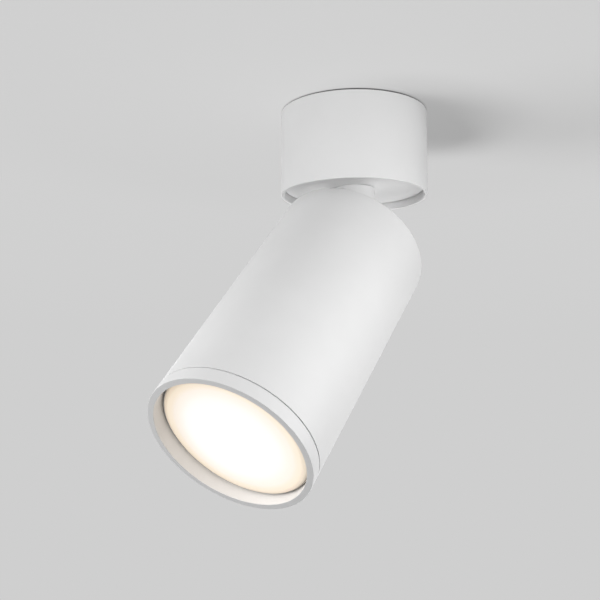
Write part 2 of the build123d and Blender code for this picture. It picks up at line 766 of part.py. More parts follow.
with BuildPart() as lamp_body:
    seat_bore = lamp_mouth_radius - lamp_seat_width
    rim_end = lamp_front - lamp_rim_length
    add_revolved(
        lamp_section,
        [
            (lamp_mouth_radius, lamp_front),
            (lamp_radius, lamp_front),
            (lamp_radius, rim_end),
            (lamp_neck_radius, -lamp_neck_start),
            (lamp_neck_radius, -lamp_neck_end),
            (lamp_neck_bore, -lamp_neck_end),
            (lamp_neck_bore, -lamp_neck_start),
            (seat_bore, -lamp_seat_depth - lamp_seat_width),
            (seat_bore, -lamp_seat_depth),
            (lamp_mouth_radius, -lamp_seat_depth),
        ],
        lamp_axis,
    )
lamp_body.part.label = "lamp_body"
export_step(lamp_body.part, "parts/lamp_body.step")

with BuildPart() as lamp_heat_plate:
    with BuildSketch(across(lamp_section, -lamp_seat_depth)):
        Circle(lamp_mouth_radius - seat_clearance)
    extrude(amount=heat_plate_thickness)
lamp_heat_plate.part.label = "lamp_heat_plate"
export_step(lamp_heat_plate.part, "parts/lamp_heat_plate.step")

with BuildPart() as lamp_led_board:
    with BuildSketch(across(lamp_section, heat_plate_top)):
        Circle(lens_inner_radius - led_board_inset)
    extrude(amount=led_board_thickness)
lamp_led_board.part.label = "lamp_led_board"
export_step(lamp_led_board.part, "parts/lamp_led_board.step")

with BuildPart() as lamp_leds:
    with BuildSketch(across(lamp_section, led_board_top)):
        with Locations((0, 0), *ring_of_places(led_circle_radius, led_count, ledge_screw_bearing)):
            Rectangle(led_size, led_size)
    extrude(amount=led_height)
lamp_leds.part.label = "lamp_leds"
export_step(lamp_leds.part, "parts/lamp_leds.step")

base_plug_radius = lamp_neck_bore - seat_clearance
base_bore = base_plug_radius - lamp_base_wall
base_plug_top = -lamp_neck_start + lamp_wall

with BuildPart() as lamp_driver_board:
    with BuildSketch(lamp_section):
        with Locations((0, base_floor_top)):
            Rectangle(
                2 * (base_bore - drop_in_clearance),
                -driver_board_front - base_floor_top,
                align=(Align.CENTER, Align.MIN),
            )
    extrude(amount=driver_board_thickness / 2, both=True)
lamp_driver_board.part.label = "lamp_driver_board"
export_step(lamp_driver_board.part, "parts/lamp_driver_board.step")

base_foot_radius = lamp_base_foot_diameter / 2
pin_places = [(-pin_spacing / 2, 0), (pin_spacing / 2, 0)]

with BuildPart() as lamp_base:
    add_revolved(
        lamp_section,
        [
            (base_bore, base_plug_top),
            (base_plug_radius, base_plug_top),
            (base_plug_radius, -lamp_neck_end - seat_clearance),
            (lamp_neck_radius, -lamp_neck_end - seat_clearance),
            (lamp_neck_radius, base_floor_top),
            (base_foot_radius, base_floor_top - lamp_neck_radius + base_foot_radius),
            (base_foot_radius, lamp_base_end),
            (0, lamp_base_end),
            (0, base_floor_top),
            (base_bore, base_floor_top),
        ],
        lamp_axis,
    )
    cut_holes(across(lamp_section, lamp_base_end), pin_places, pin_diameter, pin_root)
lamp_base.part.label = "lamp_base"
export_step(lamp_base.part, "parts/lamp_base.step")

with BuildPart() as lamp_pins:
    with spots(across(lamp_section, pin_end), *pin_places):
        Cylinder(pin_diameter / 2, pin_length + pin_root, align=UP)
        Cylinder(pin_head_diameter / 2, pin_head_height, align=UP)
lamp_pins.part.label = "lamp_pins"
export_step(lamp_pins.part, "parts/lamp_pins.step")

# ---- lamp holder with two twist-lock slots, its bent strap and their screws
strap_screw_places = [(-holder_screw_offset, 0), (holder_screw_offset, 0)]

with BuildPart() as lamp_holder:
    with BuildSketch(across(lamp_section, holder_back)):
        Circle(holder_diameter / 2)
    extrude(amount=holder_length)
    with BuildSketch(across(lamp_section, holder_front)):
        for start in (0.0, 180.0):
            twist = Edge.make_circle(pin_spacing / 2, start_angle=start, end_angle=start + holder_slot_angle)
            SlotArc(twist, height=holder_slot_width)
    extrude(amount=-holder_slot_depth, mode=Mode.SUBTRACT)
    holder_thread_depth = holder_screw_length - strap_thickness
    cut_holes(across(lamp_section, holder_back), strap_screw_places, M2_5[0], holder_thread_depth)
lamp_holder.part.label = "lamp_holder"
export_step(lamp_holder.part, "parts/lamp_holder.step")


def on_head(x, y):
    """A point of the lamp's section plane, in the head's section plane."""
    point = head_section.to_local_coords(lamp_section.from_local_coords((x, y, 0)))
    return (point.X, point.Y)


foot_top = cap_back + strap_thickness
foot_seat = across(head_section, foot_top, backwards=True)

with BuildPart() as holder_bracket:
    strap_outline = [
        (-strap_foot_end, cap_back),
        (-leg_inside, cap_back),
        on_head(-leg_inside, strap_back),
        on_head(leg_inside, strap_back),
        (leg_inside, cap_back),
        (strap_foot_end, cap_back),
        (strap_foot_end, foot_top),
        (strap_leg_offset, foot_top),
        on_head(strap_leg_offset, strap_front),
        on_head(-strap_leg_offset, strap_front),
        (-strap_leg_offset, foot_top),
        (-strap_foot_end, foot_top),
    ]
    with BuildSketch(head_section):
        with BuildLine():
            Polyline(*strap_outline, close=True)
        make_face()
    extrude(amount=strap_width / 2, both=True)
    cut_holes(foot_seat, foot_screw_places, M3[0], strap_thickness)
    below_strap = across(lamp_section, strap_back - drop_in_clearance)
    cut_holes(below_strap, strap_screw_places, M2_5[0], strap_thickness + 2 * drop_in_clearance)
holder_bracket.part.label = "holder_bracket"
export_step(holder_bracket.part, "parts/holder_bracket.step")

with BuildPart() as holder_bracket_screws:
    add_screws(foot_seat, foot_screw_places, M3, strap_screw_length)
holder_bracket_screws.part.label = "holder_bracket_screws"
export_step(holder_bracket_screws.part, "parts/holder_bracket_screws.step")

with BuildPart() as lamp_holder_screws:
    holder_screw_seat = across(lamp_section, strap_back - seat_clearance)
    add_screws(holder_screw_seat, strap_screw_places, M2_5, holder_screw_length)
lamp_holder_screws.part.label = "lamp_holder_screws"
export_step(lamp_holder_screws.part, "parts/lamp_holder_screws.step")
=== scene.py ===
import math

import bmesh
import bpy
from mathutils import Matrix, Vector


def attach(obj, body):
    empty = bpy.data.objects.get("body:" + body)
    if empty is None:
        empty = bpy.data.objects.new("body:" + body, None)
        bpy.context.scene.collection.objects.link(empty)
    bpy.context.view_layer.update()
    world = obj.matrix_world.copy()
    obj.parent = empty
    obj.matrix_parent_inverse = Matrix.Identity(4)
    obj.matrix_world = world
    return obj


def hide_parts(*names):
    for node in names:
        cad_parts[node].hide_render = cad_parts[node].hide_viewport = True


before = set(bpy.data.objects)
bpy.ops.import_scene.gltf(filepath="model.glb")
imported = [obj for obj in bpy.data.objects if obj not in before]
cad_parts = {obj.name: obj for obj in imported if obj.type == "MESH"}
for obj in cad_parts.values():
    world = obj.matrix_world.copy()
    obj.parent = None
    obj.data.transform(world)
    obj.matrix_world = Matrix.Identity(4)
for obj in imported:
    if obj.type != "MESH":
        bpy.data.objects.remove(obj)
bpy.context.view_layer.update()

MM = 0.001

# ---- camera: the photograph's own view, fitted to the canopy's and the ring's outlines, with its
# place and clipping in metres, its turns in degrees, and its lens and sensor in millimetres
CAMERA_PLACE = (0.18157, -0.30147, -0.11979)
CAMERA_TURN = 34.3777
CAMERA_RISE = 7.7574
CAMERA_ROLL = 0.094
CAMERA_LENS = 57.306
SENSOR_WIDTH = 36.0
CLIP_START = 0.01
CLIP_END = 50.0

# ---- stage and light: lengths in metres, levels on a linear scale where 1 is white
CEILING_LIFT = 0.02 * MM
CEILING_HALF = 4.0
CEILING_COLOUR = 0.15
# the ceiling's own even light, as the camera sees it and as the object gets it
CEILING_SEEN_GLOW = 0.385
CEILING_GIVEN_GLOW = 0.24
# the shaded ceiling round the lamp fades into a flat grey between these radii
LIT_RADIUS = 0.115
FLAT_RADIUS = 0.19
# that flat grey passes from the ceiling's to the backdrop's between these radii
FAR_START = 0.1
FAR_END = 0.8
CEILING_GREY = 0.637
BACKDROP_GREY = 0.624
AMBIENT = 0.05
# what the lamps point at, and each round lamp's width as a share of its distance
AIM = Vector((0.0, -0.03, -0.07))
LAMP_SPREAD = 0.5
SUN_DISTANCE = 1.0

# suns that light the ceiling alone: (azimuth from +X, elevation, width of the disc, strength), with
# angles in degrees
CEILING_SUNS = {
    "ceiling_near": (258.0, -54.0, 14.0, 4.0),
    "ceiling_far": (235.0, -34.0, 26.0, 2.84),
}

# lamps that light the object: (azimuth from +X, elevation, distance, power in watts), with angles
# in degrees
LAMPS = {
    "band_high": (340.0, 6.0, 0.2, 0.048),
    "band_low": (0.0, -10.0, 0.2, 0.192),
    "front": (280.0, -10.0, 0.35, 0.257),
    "left": (240.0, 6.0, 0.2, 0.094),
    "left_low": (220.0, -10.0, 0.35, 0.255),
    "right_low": (100.0, -48.0, 0.35, 0.529),
    "back": (140.0, 6.0, 0.35, 0.196),
    "back_low": (180.0, -70.0, 0.35, 0.194),
}

# ---- fineness of the meshes
TURN_STEPS = 192
ARC_STEPS = 4
HOLE_STEPS = 48
SHARP_ANGLE = 35.0
# a point nearer to the axis than this, in millimetres, lies on it
AXIS_REACH = 1e-6

# ---- sizes of the turned pieces in millimetres and degrees, as the CAD part has them, but for the
# gap round the plate, which is 0.1 narrower
CANOPY_RADIUS = 27.5
CANOPY_WALL = 1.2
CANOPY_TOP = -0.5
CANOPY_BOTTOM = -32.5
PLATE_RECESS = 2.7
PLATE_GAP = 0.3
PLATE_THICKNESS = 4.0
PLATE_BORE = 6.51
LEDGE_WIDTH = 4.3
LEDGE_THICKNESS = 2.0
FLANGE_WIDTH = 2.8
FLANGE_TOP = -2.05
FLANGE_BOTTOM = -6.05
FLANGE_BEARINGS = (90.0, 210.0, 330.0)
FLANGE_HALF_ANGLE = 41.0
FLANGE_ROOT = 0.6
LOCK_HOLE_DIAMETER = 3.1
SCREW_HOLE_DIAMETER = 2.1
LEDGE_BEARINGS = (30.0, 150.0, 270.0)

PIVOT_HEIGHT = -50.7
TILT_ANGLE = 45.0
HEAD_RADIUS = 27.8
HEAD_WALL = 1.2
HEAD_BACK = 4.8
SEAM = 99.8
SEAM_GAP = 0.3
MOUTH = 104.8
SPIGOT_RADIUS = 26.5
SPIGOT_BACK = 89.8
RING_BORE = 25.7

LENS_FACE = 101.6
LAMP_LEAN = 3.0
LENS_RADIUS = 25.2
LENS_EDGE = 2.0
LENS_CROWN = 0.35
LENS_WALL = 1.2
LENS_RIM_END = -3.2
LENS_SKIRT_END = -6.0
LENS_SKIRT_RADIUS = 23.55
LENS_INNER_RADIUS = 22.4

# the crown's points from the axis outwards
LENS_CROWN_RADII = (0.0, 4.0, 8.0, 12.0, 16.0, 20.0)

# roundings of edges
FINE_EDGE = 0.1
EDGE = 0.15
SOFT_EDGE = 0.2
RING_REAR_EDGE = 0.25
TUBE_BACK_BORE_EDGE = 0.3
TUBE_BACK_EDGE = 0.4

# under the canopy the ceiling's glow is cut out between these radii, a painted shade that keeps the
# line between the two dark
PAINTED_SHADE_RADIUS = CANOPY_RADIUS - 1.5
PAINTED_SHADE_END = CANOPY_RADIUS + 0.5

CANOPY_BORE = CANOPY_RADIUS - CANOPY_WALL
PLATE_BOTTOM = CANOPY_BOTTOM + PLATE_RECESS
PLATE_TOP = PLATE_BOTTOM + PLATE_THICKNESS
PLATE_RADIUS = CANOPY_BORE - PLATE_GAP
LEDGE_RADIUS = CANOPY_BORE - LEDGE_WIDTH
LEDGE_TOP = PLATE_TOP + LEDGE_THICKNESS
LOCK_HEIGHT = (FLANGE_TOP + FLANGE_BOTTOM) / 2
HEAD_BORE = HEAD_RADIUS - HEAD_WALL
CAP_BACK = HEAD_BACK + PLATE_RECESS + PLATE_THICKNESS
HEAD_LEDGE_RADIUS = HEAD_BORE - LEDGE_WIDTH
HEAD_LEDGE_END = CAP_BACK + LEDGE_THICKNESS
RING_BACK = SEAM + SEAM_GAP


def node(tree, kind, **settings):
    """A new shader node with its settings, or the values of its inputs by name."""
    made = tree.nodes.new(kind)
    for key, value in settings.items():
        if hasattr(made, key):
            setattr(made, key, value)
        else:
            made.inputs[key].default_value = value
    return made


def new_material(name):
    """An empty node material: (material, tree, output node)."""
    material = bpy.data.materials.new(name)
    material.use_nodes = True
    tree = material.node_tree
    tree.nodes.clear()
    return material, tree, tree.nodes.new("ShaderNodeOutputMaterial")


# ---- camera, stage and lamps
def make_camera():
    """The scene's camera."""
    data = bpy.data.cameras.new("camera")
    data.lens = CAMERA_LENS
    data.sensor_width = SENSOR_WIDTH
    data.clip_start = CLIP_START
    data.clip_end = CLIP_END
    camera = bpy.data.objects.new("camera", data)
    turn = Matrix.Rotation(math.radians(CAMERA_TURN), 4, "Z")
    rise = Matrix.Rotation(math.radians(90.0 + CAMERA_RISE), 4, "X")
    roll = Matrix.Rotation(math.radians(CAMERA_ROLL), 4, "Z")
    camera.matrix_world = Matrix.Translation(CAMERA_PLACE) @ turn @ rise @ roll
    bpy.context.scene.collection.objects.link(camera)
    bpy.context.scene.camera = camera


def camera_like_rays(tree):
    """1 for camera, glossy and transmission rays, and 0 for the diffuse rays that carry light."""
    path = node(tree, "ShaderNodeLightPath")
    first = node(tree, "ShaderNodeMath", operation="MAXIMUM")
    both = node(tree, "ShaderNodeMath", operation="MAXIMUM")
    tree.links.new(path.outputs["Is Camera Ray"], first.inputs[0])
    tree.links.new(path.outputs["Is Glossy Ray"], first.inputs[1])
    tree.links.new(first.outputs[0], both.inputs[0])
    tree.links.new(path.outputs["Is Transmission Ray"], both.inputs[1])
    return both.outputs[0]


def make_world():
    """A flat grey that the camera and reflections see, and a faint even light for the object."""
    world = bpy.data.worlds.new("studio")
    bpy.context.scene.world = world
    world.use_nodes = True
    tree = world.node_tree
    tree.nodes.clear()
    output = tree.nodes.new("ShaderNodeOutputWorld")
    ambient = node(tree, "ShaderNodeBackground", Strength=AMBIENT)
    ambient.inputs["Color"].default_value = (1.0, 1.0, 1.0, 1.0)
    seen = node(tree, "ShaderNodeBackground", Strength=1.0)
    seen.inputs["Color"].default_value = (BACKDROP_GREY,) * 3 + (1.0,)
    mix = tree.nodes.new("ShaderNodeMixShader")
    tree.links.new(camera_like_rays(tree), mix.inputs[0])
    tree.links.new(ambient.outputs[0], mix.inputs[1])
    tree.links.new(seen.outputs[0], mix.inputs[2])
    tree.links.new(mix.outputs[0], output.inputs["Surface"])


def times(tree, first, second):
    """The product of two values."""
    product = node(tree, "ShaderNodeMath", operation="MULTIPLY")
    tree.links.new(first, product.inputs[0])
    tree.links.new(second, product.inputs[1])
    return product.outputs[0]


def make_ceiling():
    """The plain ceiling, seen from below alone.

    Near the object it takes the object's shadow, and under the canopy its glow is cut out, a
    painted shade that keeps the gap line dark. Further out it fades into the flat grey of the
    backdrop.
    """
    mesh = bpy.data.meshes.new("ceiling")
    signs = ((-1, -1), (-1, 1), (1, 1), (1, -1))
    corners = [(x * CEILING_HALF, y * CEILING_HALF, CEILING_LIFT) for x, y in signs]
    mesh.from_pydata(corners, [], [(0, 1, 2, 3)])
    ceiling = bpy.data.objects.new("ceiling", mesh)
    bpy.context.scene.collection.objects.link(ceiling)
    material, tree, output = new_material("ceiling_paint")
    link = tree.links.new
    seen = camera_like_rays(tree)
    paint = node(tree, "ShaderNodeBsdfDiffuse", Color=(CEILING_COLOUR,) * 3 + (1.0,))
    place = node(tree, "ShaderNodeNewGeometry")
    reach = node(tree, "ShaderNodeVectorMath", operation="LENGTH")
    link(place.outputs["Position"], reach.inputs[0])
    # painted shade: the glow fades to nothing under the canopy's rim, so the gap line there stays
    # dark
    glow_past_painted_shade = node(tree, "ShaderNodeMapRange", interpolation_type="SMOOTHSTEP")
    glow_past_painted_shade.inputs["From Min"].default_value = PAINTED_SHADE_RADIUS * MM
    glow_past_painted_shade.inputs["From Max"].default_value = PAINTED_SHADE_END * MM
    link(reach.outputs["Value"], glow_past_painted_shade.inputs["Value"])
    glow = node(tree, "ShaderNodeEmission")
    level = node(tree, "ShaderNodeMapRange")
    level.inputs["To Min"].default_value = CEILING_GIVEN_GLOW
    level.inputs["To Max"].default_value = CEILING_SEEN_GLOW
    link(seen, level.inputs["Value"])
    link(times(tree, level.outputs[0], glow_past_painted_shade.outputs[0]), glow.inputs["Strength"])
    lit = tree.nodes.new("ShaderNodeAddShader")
    link(paint.outputs[0], lit.inputs[0])
    link(glow.outputs[0], lit.inputs[1])
    fade = node(tree, "ShaderNodeMapRange", interpolation_type="SMOOTHSTEP")
    fade.inputs["From Min"].default_value = LIT_RADIUS
    fade.inputs["From Max"].default_value = FLAT_RADIUS
    link(reach.outputs["Value"], fade.inputs["Value"])
    far = node(tree, "ShaderNodeMapRange")
    far.inputs["From Min"].default_value = FAR_START
    far.inputs["From Max"].default_value = FAR_END
    far.inputs["To Min"].default_value = CEILING_GREY
    far.inputs["To Max"].default_value = BACKDROP_GREY
    link(reach.outputs["Value"], far.inputs["Value"])
    flat = node(tree, "ShaderNodeEmission", Strength=1.0)
    link(far.outputs[0], flat.inputs["Color"])
    surface = tree.nodes.new("ShaderNodeMixShader")
    link(times(tree, fade.outputs[0], seen), surface.inputs[0])
    link(lit.outputs[0], surface.inputs[1])
    link(flat.outputs[0], surface.inputs[2])
    clear = tree.nodes.new("ShaderNodeBsdfTransparent")
    sided = tree.nodes.new("ShaderNodeMixShader")
    link(place.outputs["Backfacing"], sided.inputs[0])
    link(surface.outputs[0], sided.inputs[1])
    link(clear.outputs[0], sided.inputs[2])
    link(sided.outputs[0], output.inputs["Surface"])
    mesh.materials.append(material)
    return ceiling


def make_lamp(data, azimuth, elevation, distance, lit):
    """A lamp that points at the object from a direction and lights one collection alone."""
    lamp = bpy.data.objects.new(data.name, data)
    a, e = math.radians(azimuth), math.radians(elevation)
    towards = Vector((math.cos(a) * math.cos(e), math.sin(a) * math.cos(e), math.sin(e)))
    lamp.location = AIM + towards * distance
    lamp.rotation_mode = "QUATERNION"
    lamp.rotation_quaternion = towards.to_track_quat("Z", "Y")
    lamp.visible_camera = False
    lamp.light_linking.receiver_collection = lit
    bpy.context.scene.collection.objects.link(lamp)


def make_lamps(ceiling):
    """Suns for the ceiling and soft lamps for the object, so that neither spoils the other."""
    plain = bpy.data.collections.new("ceiling_alone")
    plain.objects.link(ceiling)
    for name, (azimuth, elevation, width, strength) in CEILING_SUNS.items():
        sun = bpy.data.lights.new(name, "SUN")
        sun.angle = math.radians(width)
        sun.energy = strength
        make_lamp(sun, azimuth, elevation, SUN_DISTANCE, plain)
    rest = bpy.data.collections.new("all_but_ceiling")
    rest.objects.link(ceiling)
    rest.collection_objects[0].light_linking.link_state = "EXCLUDE"
    for name, (azimuth, elevation, distance, power) in LAMPS.items():
        data = bpy.data.lights.new(name, "AREA")
        data.shape = "DISK"
        data.size = LAMP_SPREAD * distance
        data.energy = power
        make_lamp(data, azimuth, elevation, distance, rest)


# ---- materials: noise scales are in cells per metre
NOISE_LOW = 0.3
NOISE_HIGH = 0.7
PLAIN_DETAIL = 2.0
RELIEF_DETAIL = 3.0
TONE_SCALE = 60.0
ROUGHNESS_COARSENESS = 3


def speckle(tree, scale, detail=PLAIN_DETAIL):
    """Noise in the piece's own space."""
    place = node(tree, "ShaderNodeTexCoord")
    noise = node(tree, "ShaderNodeTexNoise", Scale=scale, Detail=detail)
    tree.links.new(place.outputs["Object"], noise.inputs["Vector"])
    return noise.outputs["Fac"]


def spread(tree, value, low, high):
    """Maps the middle of a noise to the range low to high."""
    mapped = node(tree, "ShaderNodeMapRange")
    mapped.inputs["From Min"].default_value = NOISE_LOW
    mapped.inputs["From Max"].default_value = NOISE_HIGH
    mapped.inputs["To Min"].default_value = low
    mapped.inputs["To Max"].default_value = high
    tree.links.new(value, mapped.inputs["Value"])
    return mapped.outputs[0]


def toned(tree, value, dark, light):
    """A colour between dark and light, by a 0 to 1 value."""
    mix = node(tree, "ShaderNodeMix", data_type="RGBA")
    mix.inputs["A"].default_value = dark + (1.0,)
    mix.inputs["B"].default_value = light + (1.0,)
    tree.links.new(value, mix.inputs["Factor"])
    return mix.outputs["Result"]


def add_relief(tree, shader, height, scale):
    """A fine bump of a height in metres."""
    relief = node(tree, "ShaderNodeBump", Strength=1.0, Distance=height)
    tree.links.new(speckle(tree, scale, RELIEF_DETAIL), relief.inputs["Height"])
    tree.links.new(relief.outputs[0], shader.inputs["Normal"])


def solid_finish(name, dark, light, roughness, relief_height, relief_scale, metallic):
    """A solid material with colour, roughness and relief that vary; roughness is (low, high)."""
    material, tree, output = new_material(name)
    shader = node(tree, "ShaderNodeBsdfPrincipled", Metallic=metallic)
    tree.links.new(shader.outputs[0], output.inputs["Surface"])
    tone = spread(tree, speckle(tree, TONE_SCALE), 0.0, 1.0)
    tree.links.new(toned(tree, tone, dark, light), shader.inputs["Base Color"])
    gloss = spread(tree, speckle(tree, relief_scale / ROUGHNESS_COARSENESS), *roughness)
    tree.links.new(gloss, shader.inputs["Roughness"])
    add_relief(tree, shader, relief_height, relief_scale)
    return material


def grey(low, high):
    """The dark and the light tone of a neutral finish."""
    return (low,) * 3, (high,) * 3


# slot: (dark, light, roughness, relief height, relief scale, metallic)
FINISHES = {
    "white_coat": (*grey(0.80, 0.82), (0.5, 0.56), 0.002 * MM, 1500, 0.0),
    "zinc_steel": (
        (0.52, 0.53, 0.55), (0.66, 0.66, 0.67), (0.36, 0.48), 0.003 * MM, 2500, 1.0,
    ),
    "brass": ((0.70, 0.53, 0.25), (0.80, 0.62, 0.32), (0.25, 0.4), 0.003 * MM, 2500, 1.0),
    "black_rubber": (*grey(0.025, 0.04), (0.6, 0.75), 0.01 * MM, 3000, 0.0),
    "terminal_plastic": (
        (0.76, 0.76, 0.73), (0.8, 0.8, 0.77), (0.4, 0.5), 0.004 * MM, 2500, 0.0,
    ),
    "bearing_plastic": (
        (0.74, 0.72, 0.66), (0.78, 0.76, 0.7), (0.4, 0.5), 0.004 * MM, 2500, 0.0,
    ),
    "lamp_plastic": (
        (0.8, 0.8, 0.78), (0.84, 0.84, 0.82), (0.35, 0.45), 0.003 * MM, 2500, 0.0,
    ),
    "bare_aluminium": (
        (0.6, 0.6, 0.62), (0.7, 0.7, 0.72), (0.3, 0.45), 0.004 * MM, 2500, 1.0,
    ),
    "white_board": ((0.8, 0.8, 0.79), (0.84, 0.84, 0.83), (0.35, 0.45), 0.003 * MM, 2500, 0.0),
    "green_board": ((0.05, 0.2, 0.1), (0.07, 0.25, 0.12), (0.3, 0.4), 0.003 * MM, 2500, 0.0),
    "led_phosphor": ((0.85, 0.66, 0.15), (0.9, 0.72, 0.2), (0.4, 0.5), 0.003 * MM, 2500, 0.0),
    "ceramic": ((0.8, 0.78, 0.74), (0.84, 0.82, 0.78), (0.2, 0.3), 0.004 * MM, 1500, 0.0),
}
MATERIALS = {slot: solid_finish(slot, *finish) for slot, finish in FINISHES.items()}

LENS_DARK = (0.42, 0.41, 0.39)
LENS_LIGHT = (0.44, 0.43, 0.41)
LENS_TONE_SCALE = 80.0
LENS_ROUGHNESS = (0.5, 0.6)
LENS_ROUGHNESS_SCALE = 900.0
LENS_RELIEF_HEIGHT = 0.003 * MM
LENS_RELIEF_SCALE = 1800.0
# a lit lens is brighter than the white that shows: this is what it gives to the bore round it. It
# fades out between the two radii in millimetres, so that the gap round the lens's rim stays dark
LENS_SPILL = (1.05, 0.93, 0.81)
SPILL_RADIUS = 24.2
SPILL_END = 25.1
# the lens's own light by radius in millimetres: a white middle that warms and fades towards the rim
LENS_GLOW = (
    (0.0, (0.80, 0.80, 0.79)),
    (15.5, (0.76, 0.74, 0.72)),
    (19.5, (0.74, 0.67, 0.59)),
    (22.5, (0.71, 0.59, 0.45)),
    (24.0, (0.54, 0.44, 0.32)),
    (24.7, (0.30, 0.24, 0.17)),
    (25.2, (0.0, 0.0, 0.0)),
)


def frosted_lens():
    """Frosted plastic lit from behind; the Z of the lens's own frame is the lamp's axis."""
    material, tree, output = new_material("frosted_lens")
    link = tree.links.new
    shader = node(tree, "ShaderNodeBsdfPrincipled")
    shader.inputs["Emission Strength"].default_value = 1.0
    tone = spread(tree, speckle(tree, LENS_TONE_SCALE), 0.0, 1.0)
    link(toned(tree, tone, LENS_DARK, LENS_LIGHT), shader.inputs["Base Color"])
    gloss = spread(tree, speckle(tree, LENS_ROUGHNESS_SCALE), *LENS_ROUGHNESS)
    link(gloss, shader.inputs["Roughness"])
    place = node(tree, "ShaderNodeTexCoord")
    sideways = node(tree, "ShaderNodeVectorMath", operation="MULTIPLY")
    sideways.inputs[1].default_value = (1.0, 1.0, 0.0)
    link(place.outputs["Object"], sideways.inputs[0])
    radius = node(tree, "ShaderNodeVectorMath", operation="LENGTH")
    link(sideways.outputs[0], radius.inputs[0])
    share = node(tree, "ShaderNodeMapRange")
    share.inputs["From Max"].default_value = LENS_RADIUS * MM
    link(radius.outputs["Value"], share.inputs["Value"])
    ramp = tree.nodes.new("ShaderNodeValToRGB")
    ramp.color_ramp.interpolation = "EASE"
    stops = ramp.color_ramp.elements
    while len(stops) < len(LENS_GLOW):
        stops.new(1.0)
    for stop, (at, colour) in zip(stops, LENS_GLOW):
        stop.position = at / LENS_RADIUS
        stop.color = colour + (1.0,)
    link(share.outputs[0], ramp.inputs["Fac"])
    path = node(tree, "ShaderNodeLightPath")
    given = node(tree, "ShaderNodeMix", data_type="RGBA")
    given.inputs["B"].default_value = LENS_SPILL + (1.0,)
    inner = node(tree, "ShaderNodeMapRange", interpolation_type="SMOOTHSTEP")
    inner.inputs["From Min"].default_value = SPILL_RADIUS * MM
    inner.inputs["From Max"].default_value = SPILL_END * MM
    inner.inputs["To Min"].default_value = 1.0
    inner.inputs["To Max"].default_value = 0.0
    link(radius.outputs["Value"], inner.inputs["Value"])
    link(times(tree, path.outputs["Is Diffuse Ray"], inner.outputs[0]), given.inputs["Factor"])
    link(ramp.outputs["Color"], given.inputs["A"])
    link(given.outputs["Result"], shader.inputs["Emission Color"])
    add_relief(tree, shader, LENS_RELIEF_HEIGHT, LENS_RELIEF_SCALE)
    link(shader.outputs[0], output.inputs["Surface"])
    return material


MATERIALS["frosted_lens"] = frosted_lens()


# ---- turned pieces
def rounded(outline):
    """Points of a closed outline of (radius, height, rounding) corners, with arcs as roundings."""
    points = []
    for k, (radius, height, rounding) in enumerate(outline):
        corner = Vector((radius, height))
        if not rounding:
            points.append(corner)
            continue
        before = (Vector(outline[k - 1][:2]) - corner).normalized()
        after = (Vector(outline[(k + 1) % len(outline)][:2]) - corner).normalized()
        half = before.angle(after) / 2
        centre = corner + (before + after).normalized() * rounding / math.sin(half)
        start = corner + before * rounding / math.tan(half) - centre
        end = corner + after * rounding / math.tan(half) - centre
        turn = start.angle_signed(end)
        for step in range(ARC_STEPS + 1):
            points.append(centre + Matrix.Rotation(-turn * step / ARC_STEPS, 2) @ start)
    return points


def turned(name, outline):
    """A mesh turned round its own Z axis from a closed outline in millimetres."""
    form = bmesh.new()
    angles = [2 * math.pi * k / TURN_STEPS for k in range(TURN_STEPS)]
    rings = []
    for radius, height in rounded(outline):
        if radius < AXIS_REACH:
            rings.append([form.verts.new((0.0, 0.0, height * MM))])
            continue
        places = [
            (radius * MM * math.cos(a), radius * MM * math.sin(a), height * MM) for a in angles
        ]
        rings.append([form.verts.new(place) for place in places])
    for k, ring in enumerate(rings):
        after = rings[(k + 1) % len(rings)]
        if len(ring) == 1 and len(after) == 1:
            continue
        for i in range(TURN_STEPS):
            j = (i + 1) % TURN_STEPS
            near = [ring[i % len(ring)], ring[j % len(ring)]]
            far = [after[j % len(after)], after[i % len(after)]]
            form.faces.new(list(dict.fromkeys(near + far)))
    bmesh.ops.recalc_face_normals(form, faces=form.faces)
    return as_object(name, form)


def as_object(name, form):
    """Turns a bmesh into an object of the scene."""
    mesh = bpy.data.meshes.new(name)
    form.to_mesh(mesh)
    form.free()
    piece = bpy.data.objects.new(name, mesh)
    bpy.context.scene.collection.objects.link(piece)
    return piece


def arc_block(inner, outer, low, high, bearing, half_angle):
    """A stretch of a ring, in millimetres and degrees."""
    form = bmesh.new()
    steps = round(TURN_STEPS * half_angle / 180)
    sections = []
    for k in range(steps + 1):
        a = math.radians(bearing - half_angle + 2 * half_angle * k / steps)
        corners = [(inner, low), (outer, low), (outer, high), (inner, high)]
        places = [(r * MM * math.cos(a), r * MM * math.sin(a), z * MM) for r, z in corners]
        sections.append([form.verts.new(place) for place in places])
    for first, second in zip(sections, sections[1:]):
        for i in range(4):
            j = (i + 1) % 4
            form.faces.new([first[i], first[j], second[j], second[i]])
    form.faces.new(sections[0])
    form.faces.new(sections[-1])
    bmesh.ops.recalc_face_normals(form, faces=form.faces)
    return as_object("arc_block", form)


def pin(diameter, length, place, along):
    """A round cutter, in millimetres, with its middle at a place and its axis along a direction."""
    form = bmesh.new()
    turn = Vector(along).to_track_quat("Z", "Y").to_matrix().to_4x4()
    bmesh.ops.create_cone(
        form,
        cap_ends=True,
        segments=HOLE_STEPS,
        radius1=diameter / 2 * MM,
        radius2=diameter / 2 * MM,
        depth=length * MM,
        matrix=Matrix.Translation(Vector(place) * MM) @ turn,
    )
    return as_object("pin", form)


def combine(piece, tools, operation):
    """Adds the tools to a piece's mesh (UNION) or cuts them out (DIFFERENCE); deletes the tools."""
    for tool in tools:
        step = piece.modifiers.new(operation, "BOOLEAN")
        step.operation = operation
        step.solver = "EXACT"
        step.object = tool
    bpy.context.view_layer.update()
    evaluated = piece.evaluated_get(bpy.context.evaluated_depsgraph_get())
    result = bpy.data.meshes.new_from_object(evaluated)
    piece.modifiers.clear()
    piece.data = result
    for tool in tools:
        bpy.data.objects.remove(tool)


